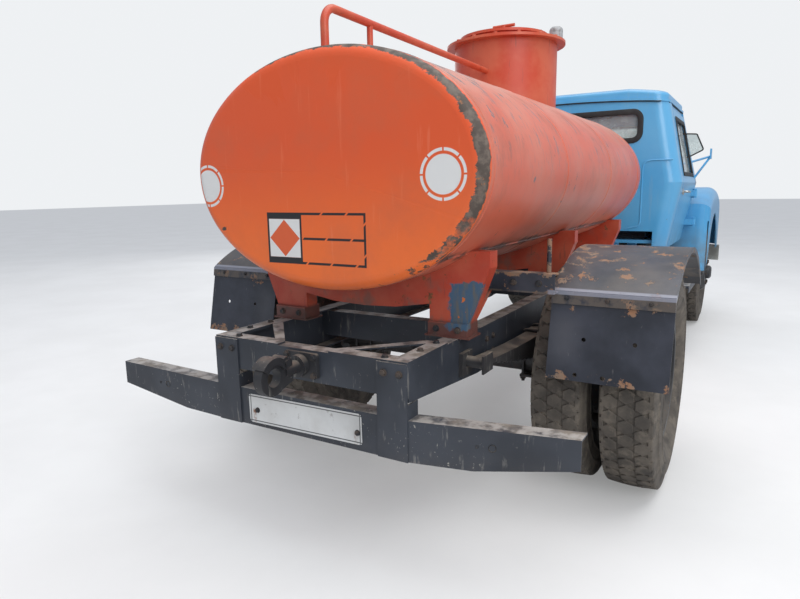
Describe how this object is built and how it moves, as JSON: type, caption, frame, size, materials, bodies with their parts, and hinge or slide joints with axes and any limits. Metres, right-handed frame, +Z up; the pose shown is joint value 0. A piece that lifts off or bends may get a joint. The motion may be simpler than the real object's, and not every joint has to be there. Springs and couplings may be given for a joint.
{
  "type": "tanker truck",
  "caption": "Small two-axle bonneted tanker truck with an elliptical tank, domed filler neck, rear tow hook, opening doors, bonnet and lid, steered front wheels and twin rear wheels.",
  "frame": {"origin": "on the ground, under the middle of the whole truck's box", "axes": "-Y forwards, +X to the truck's left, +Z up"},
  "size_m": [2.27, 6, 2.2382],
  "materials": {
    "chassis_paint": "worn",
    "hook_steel": "worn",
    "bumper_paint": "satin",
    "engine_iron": "matte",
    "tank_paint": "worn",
    "saddle_paint": "worn",
    "guard_paint": "worn",
    "cab_paint": "satin",
    "grille_paint": "satin",
    "glass": "gloss",
    "lamp_glass": "gloss",
    "wheel_paint": "matte",
    "tyre": "matte",
    "seat_vinyl": "satin",
    "dash_paint": "satin"
  },
  "bodies": {
    "chassis": {"frame_rail_left": "chassis_paint", "frame_rail_right": "chassis_paint", "frame_crossmembers": "chassis_paint", "rear_bumper": "chassis_paint", "tow_hook": "hook_steel", "front_bumper": "bumper_paint", "front_axle": "chassis_paint", "leaf_springs": "chassis_paint", "rear_axle": "chassis_paint", "drive_shaft": "chassis_paint", "engine_block": "engine_iron", "exhaust": "chassis_paint", "tank_shell": "tank_paint", "tank_saddles": "saddle_paint", "filler_neck": "tank_paint", "drain_valve": "saddle_paint", "mudguard_left": "guard_paint", "mudguard_right": "guard_paint", "cab_rear_wall": "cab_paint", "cab_cowl": "cab_paint", "cab_roof": "cab_paint", "cab_floor": "cab_paint", "cab_glass": "glass", "front_fenders": "cab_paint", "headlamps": "lamp_glass", "radiator_grille": "grille_paint", "running_boards": "chassis_paint", "fuel_tank": "chassis_paint", "mirror_brackets": "cab_paint", "seat": "seat_vinyl", "dashboard": "dash_paint"},
    "knuckle_left": {"knuckle_left": "chassis_paint"},
    "knuckle_right": {"knuckle_right": "chassis_paint"},
    "tie_rod": {"tie_rod": "chassis_paint"},
    "wheel_front_left": {"wheel_front_left": "wheel_paint", "tyre_front_left": "tyre"},
    "wheel_front_right": {"wheel_front_right": "wheel_paint", "tyre_front_right": "tyre"},
    "wheel_rear_left": {"wheels_rear_left": "wheel_paint", "tyres_rear_left": "tyre"},
    "wheel_rear_right": {"wheels_rear_right": "wheel_paint", "tyres_rear_right": "tyre"},
    "door_left": {"door_left": "cab_paint", "door_glass_left": "glass"},
    "door_right": {"door_right": "cab_paint", "door_glass_right": "glass"},
    "bonnet": {"bonnet": "cab_paint"},
    "filler_lid": {"filler_lid": "tank_paint"}
  },
  "joints": [
    {"name": "steer_left", "type": "hinge", "parent": "chassis", "child": "knuckle_left", "pos_m": [0.665, -2.09, 0.485], "axis": [0, 0, 1], "range_deg": [-34, 34]},
    {"name": "steer_right", "type": "hinge", "parent": "chassis", "child": "knuckle_right", "pos_m": [-0.665, -2.09, 0.485], "axis": [0, 0, 1], "range_deg": [-34, 34]},
    {"name": "tie_rod_pivot", "type": "hinge", "parent": "knuckle_left", "child": "tie_rod", "pos_m": [0.665, -1.91, 0.39], "axis": [0, 0, 1], "range_deg": [-34, 34]},
    {"name": "spin_front_left", "type": "hinge", "parent": "knuckle_left", "child": "wheel_front_left", "pos_m": [0.815, -2.09, 0.485], "axis": [1, 0, 0], "continuous": true},
    {"name": "spin_front_right", "type": "hinge", "parent": "knuckle_right", "child": "wheel_front_right", "pos_m": [-0.815, -2.09, 0.485], "axis": [1, 0, 0], "continuous": true},
    {"name": "spin_rear_left", "type": "hinge", "parent": "chassis", "child": "wheel_rear_left", "pos_m": [0.8455, 1.61, 0.485], "axis": [1, 0, 0], "continuous": true},
    {"name": "spin_rear_right", "type": "hinge", "parent": "chassis", "child": "wheel_rear_right", "pos_m": [-0.8455, 1.61, 0.485], "axis": [1, 0, 0], "continuous": true},
    {"name": "door_left_hinge", "type": "hinge", "parent": "chassis", "child": "door_left", "pos_m": [0.872, -1.394, 1.1], "axis": [0, 0, -1], "range_deg": [0, 65]},
    {"name": "door_right_hinge", "type": "hinge", "parent": "chassis", "child": "door_right", "pos_m": [-0.872, -1.394, 1.1], "axis": [0, 0, 1], "range_deg": [0, 65]},
    {"name": "bonnet_hinge", "type": "hinge", "parent": "chassis", "child": "bonnet", "pos_m": [0, -1.64, 1.415], "axis": [-1, 0, 0], "range_deg": [0, 50]},
    {"name": "lid_hinge", "type": "hinge", "parent": "chassis", "child": "filler_lid", "pos_m": [0, 0.59, 2.1563], "axis": [1, 0, 0], "range_deg": [0, 100]}
  ],
  "couplings": [
    {"joint": "steer_right", "follows": "steer_left", "ratio": 1},
    {"joint": "tie_rod_pivot", "follows": "steer_left", "ratio": -1}
  ]
}
